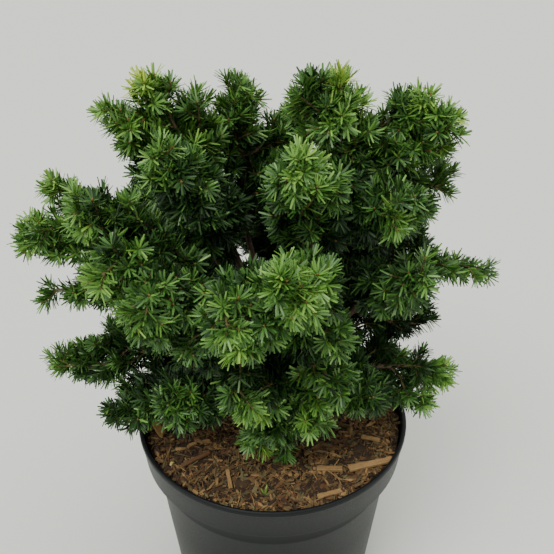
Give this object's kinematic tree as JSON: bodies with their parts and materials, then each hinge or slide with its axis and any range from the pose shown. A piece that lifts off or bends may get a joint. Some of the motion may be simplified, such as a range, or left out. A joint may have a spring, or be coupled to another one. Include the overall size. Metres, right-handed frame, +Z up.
{
  "type": "potted dwarf conifer",
  "caption": "Bushy dwarf conifer with a short trunk, spreading boughs and uneven masses of short needles, in a round collared nursery pot topped with bark mulch.",
  "frame": {"origin": "centre of the pot's flat underside", "axes": "+Z up along the pot's axis; -Y towards the front of the plant; +X to the right seen from the front"},
  "size_m": [0.3107, 0.249, 0.3944],
  "materials": {
    "pot_plastic": "anthracite moulded plastic, satin, with faint scuffs",
    "bark_mulch": "coarse shredded bark, matt, dark brown to tan",
    "bark": "thin flaking brown bark, matt",
    "needles": "short glossy needles, deep green with fresh green tips"
  },
  "bodies": {
    "root": {"pot": "pot_plastic", "mulch": "bark_mulch", "trunk": "bark", "bough_crown_left": "bark", "bough_crown_right": "bark", "bough_crown_back": "bark", "bough_front_middle": "bark", "bough_arm_right": "bark", "bough_arm_left": "bark", "bough_back_middle": "bark", "bough_foot_front": "bark", "bough_shoulder_right": "bark", "bough_front_right": "bark", "bough_front_left": "bark", "bough_back_left": "bark", "bough_back_right": "bark", "bough_low_right": "bark", "bough_low_left": "bark", "bough_foot_left": "bark", "foliage_leader_left": "needles", "foliage_horn_left": "needles", "foliage_shoulder_left": "needles", "foliage_crest_back": "needles", "foliage_crown_tip": "needles", "foliage_horn_right": "needles", "foliage_finger_right": "needles", "foliage_reach_right": "needles", "foliage_ledge_right": "needles", "foliage_spur_right": "needles", "foliage_low_tip_right": "needles", "foliage_skirt_right": "needles", "foliage_reach_left": "needles", "foliage_spur_left": "needles", "foliage_low_tip_left": "needles", "foliage_low_fan_left": "needles", "foliage_skirt_left": "needles", "foliage_foot_fan_left": "needles", "foliage_ledge_left": "needles", "foliage_fan_left": "needles", "foliage_fan_front_left": "needles", "foliage_bay_left": "needles", "foliage_front_star": "needles", "foliage_front_fan": "needles", "foliage_front_bay": "needles", "foliage_brow_right": "needles", "foliage_breast_right": "needles", "foliage_brow_left": "needles", "foliage_foot_star": "needles", "foliage_apron": "needles", "foliage_apron_right": "needles", "foliage_hump_back": "needles", "foliage_back_left_fan_1": "needles", "foliage_back_left_fan_2": "needles", "foliage_back_left_fan_3": "needles", "foliage_back_middle_fan_1": "needles", "foliage_back_middle_fan_2": "needles", "foliage_back_middle_fan_3": "needles", "foliage_back_right_fan_1": "needles", "foliage_back_right_fan_2": "needles", "foliage_back_right_fan_3": "needles"}
  },
  "joints": []
}
